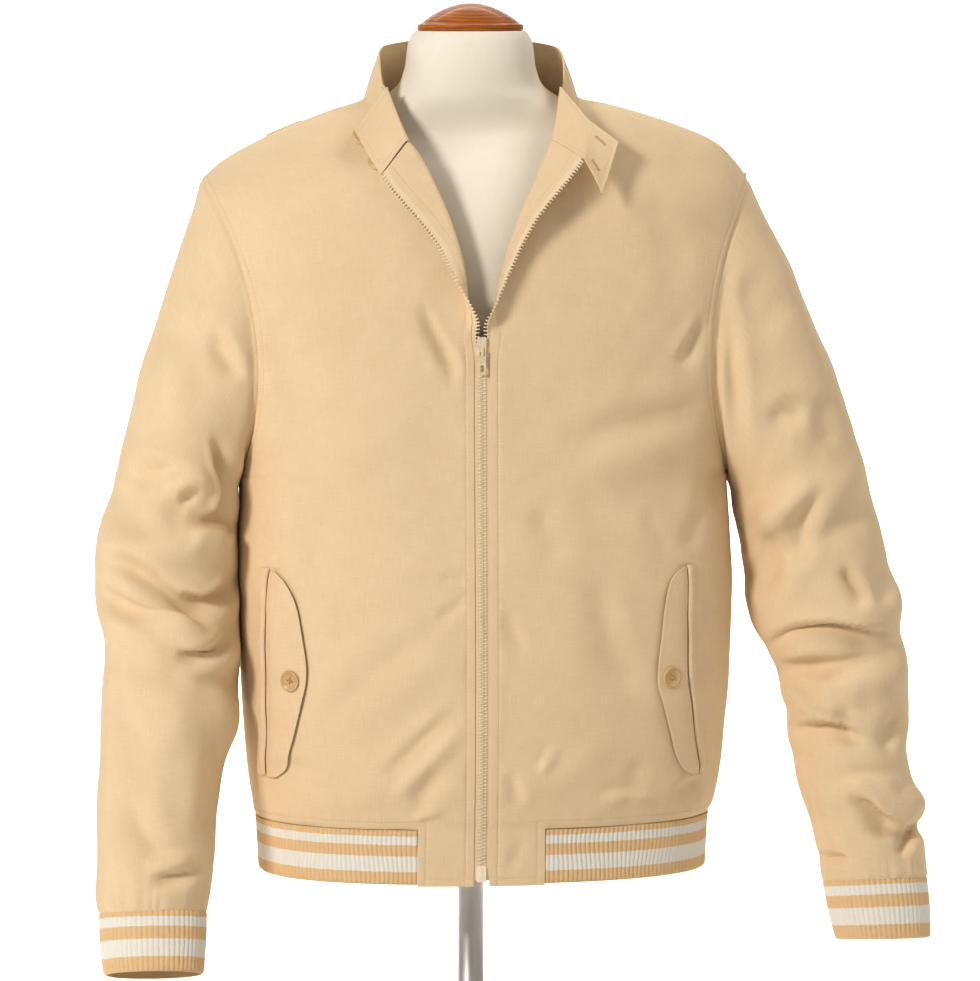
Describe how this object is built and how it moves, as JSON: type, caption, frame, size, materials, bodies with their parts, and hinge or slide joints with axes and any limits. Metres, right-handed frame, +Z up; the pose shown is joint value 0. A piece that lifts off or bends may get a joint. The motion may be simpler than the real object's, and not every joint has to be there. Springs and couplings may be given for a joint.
{
  "type": "zip-front jacket on a limbless dress form",
  "caption": "Waist-length zip-front cotton jacket with striped ribs, stand collar turned open and scalloped pocket flaps, filled out on a limbless dress form with pole and round foot.",
  "frame": {"origin": "centre of the round foot's underside, on the floor under the neck of the form", "axes": "+Z up along the pole; the jacket's front faces -Y; the wearer's left is +X"},
  "size_m": [0.7657, 0.3005, 0.9743],
  "materials": {
    "twill": "tan cotton twill, matte",
    "knit": "rib knit, off-white and tan stripes",
    "form_cloth": "smooth cream cover, matte",
    "wood": "orange-brown stain under gloss varnish",
    "steel": "satin tube",
    "zip_metal": "cream paint, satin",
    "zip_tape": "woven tape with cream moulded teeth",
    "button": "mottled tan, soft gloss"
  },
  "bodies": {
    "jacket": {"back": "twill", "base": "wood", "collar": "twill", "collar_button_high": "button", "collar_button_low": "button", "cuff_left": "knit", "cuff_right": "knit", "flap_button_left": "button", "flap_button_right": "button", "form_torso": "form_cloth", "front_left": "twill", "front_right": "twill", "hem_rib": "knit", "neck_cap": "wood", "pocket_flap_left": "twill", "pocket_flap_right": "twill", "pole": "steel", "sleeve_left": "twill", "sleeve_right": "twill", "slider": "zip_metal", "zip_box": "zip_metal", "zip_left": "zip_tape", "zip_right": "zip_tape"},
    "pull_tab": {"pull_tab": "zip_metal"}
  },
  "joints": [
    {"name": "tab_swing", "type": "hinge", "parent": "jacket", "child": "pull_tab", "pos_m": [0.0012, -0.12251, 0.66515], "axis": [-1, 0, 0], "range_deg": [0, 150]}
  ]
}
